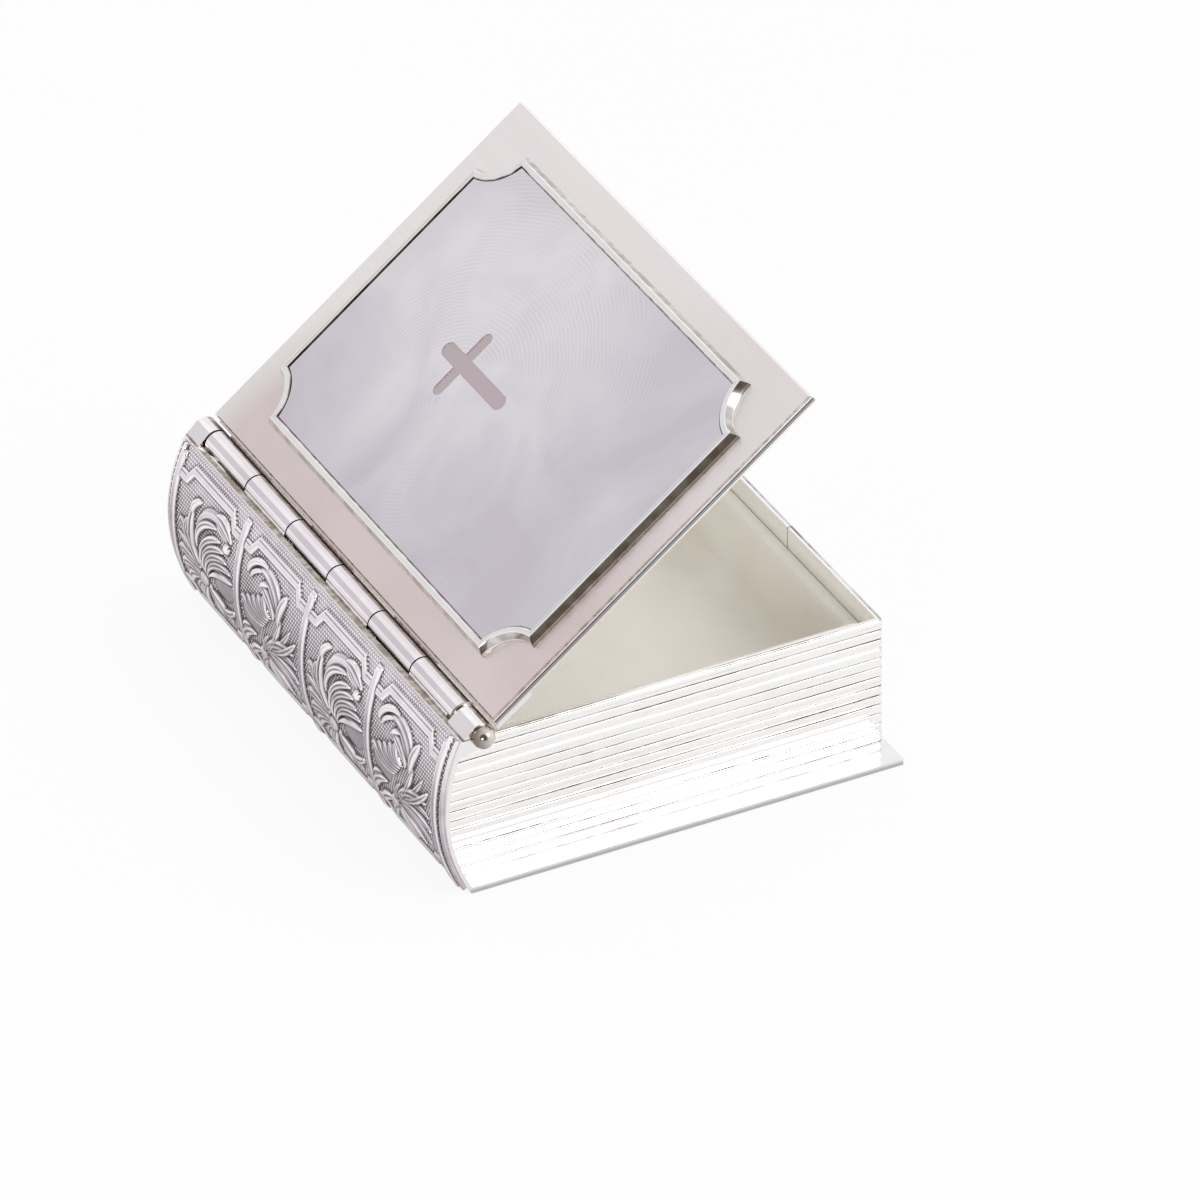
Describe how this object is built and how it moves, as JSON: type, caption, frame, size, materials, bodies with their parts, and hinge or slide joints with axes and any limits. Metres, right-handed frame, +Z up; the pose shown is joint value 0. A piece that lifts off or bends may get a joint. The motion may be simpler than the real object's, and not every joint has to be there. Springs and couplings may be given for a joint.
{
  "type": "rosary box",
  "caption": "Book-shaped metal keepsake box: embossed spine, ridged page block, padded inside and a hinged lid with a framed plate and engraved cross.",
  "frame": {"origin": "middle of the underside of the bottom cover, which the box stands on", "axes": "+X from the spine to the fore edge, +Y along the spine from the pin's ball end to the other end, +Z up"},
  "size_m": [0.074, 0.0925, 0.0668],
  "materials": {
    "plated_sheet": "polished silver plate",
    "page_silver": "bright silver plate",
    "embossed_silver": "embossed silver plate, darker in the hollows",
    "hinge_metal": "plain plated metal",
    "pin_steel": "polished",
    "satin_silver": "satin silver plate",
    "mirror_metal": "mirror polished, fine swirl marks",
    "lining_cloth": "ivory satin cloth over padding",
    "backing_card": "plain card"
  },
  "bodies": {
    "base": {"bottom_cover": "plated_sheet", "spine_shell": "plated_sheet", "page_wall_tail": "page_silver", "page_wall_head": "page_silver", "page_wall_fore": "page_silver", "spine_plate": "embossed_silver", "base_hinge_leaf": "hinge_metal", "hinge_pin": "pin_steel", "hinge_washer": "pin_steel", "lining_tail": "lining_cloth", "lining_head": "lining_cloth", "lining_fore": "lining_cloth", "lining_spine": "lining_cloth", "floor_board": "backing_card", "floor_pad": "lining_cloth"},
    "lid": {"lid_plate": "satin_silver", "lid_frame": "page_silver", "mirror_plate": "mirror_metal", "lid_hinge_leaf": "hinge_metal", "lid_lining": "lining_cloth"}
  },
  "joints": [
    {"name": "lid_hinge", "type": "hinge", "parent": "base", "child": "lid", "pos_m": [-0.03215, 0, 0.02617], "axis": [0, -1, 0], "range_deg": [-37.5, 67.5]}
  ]
}
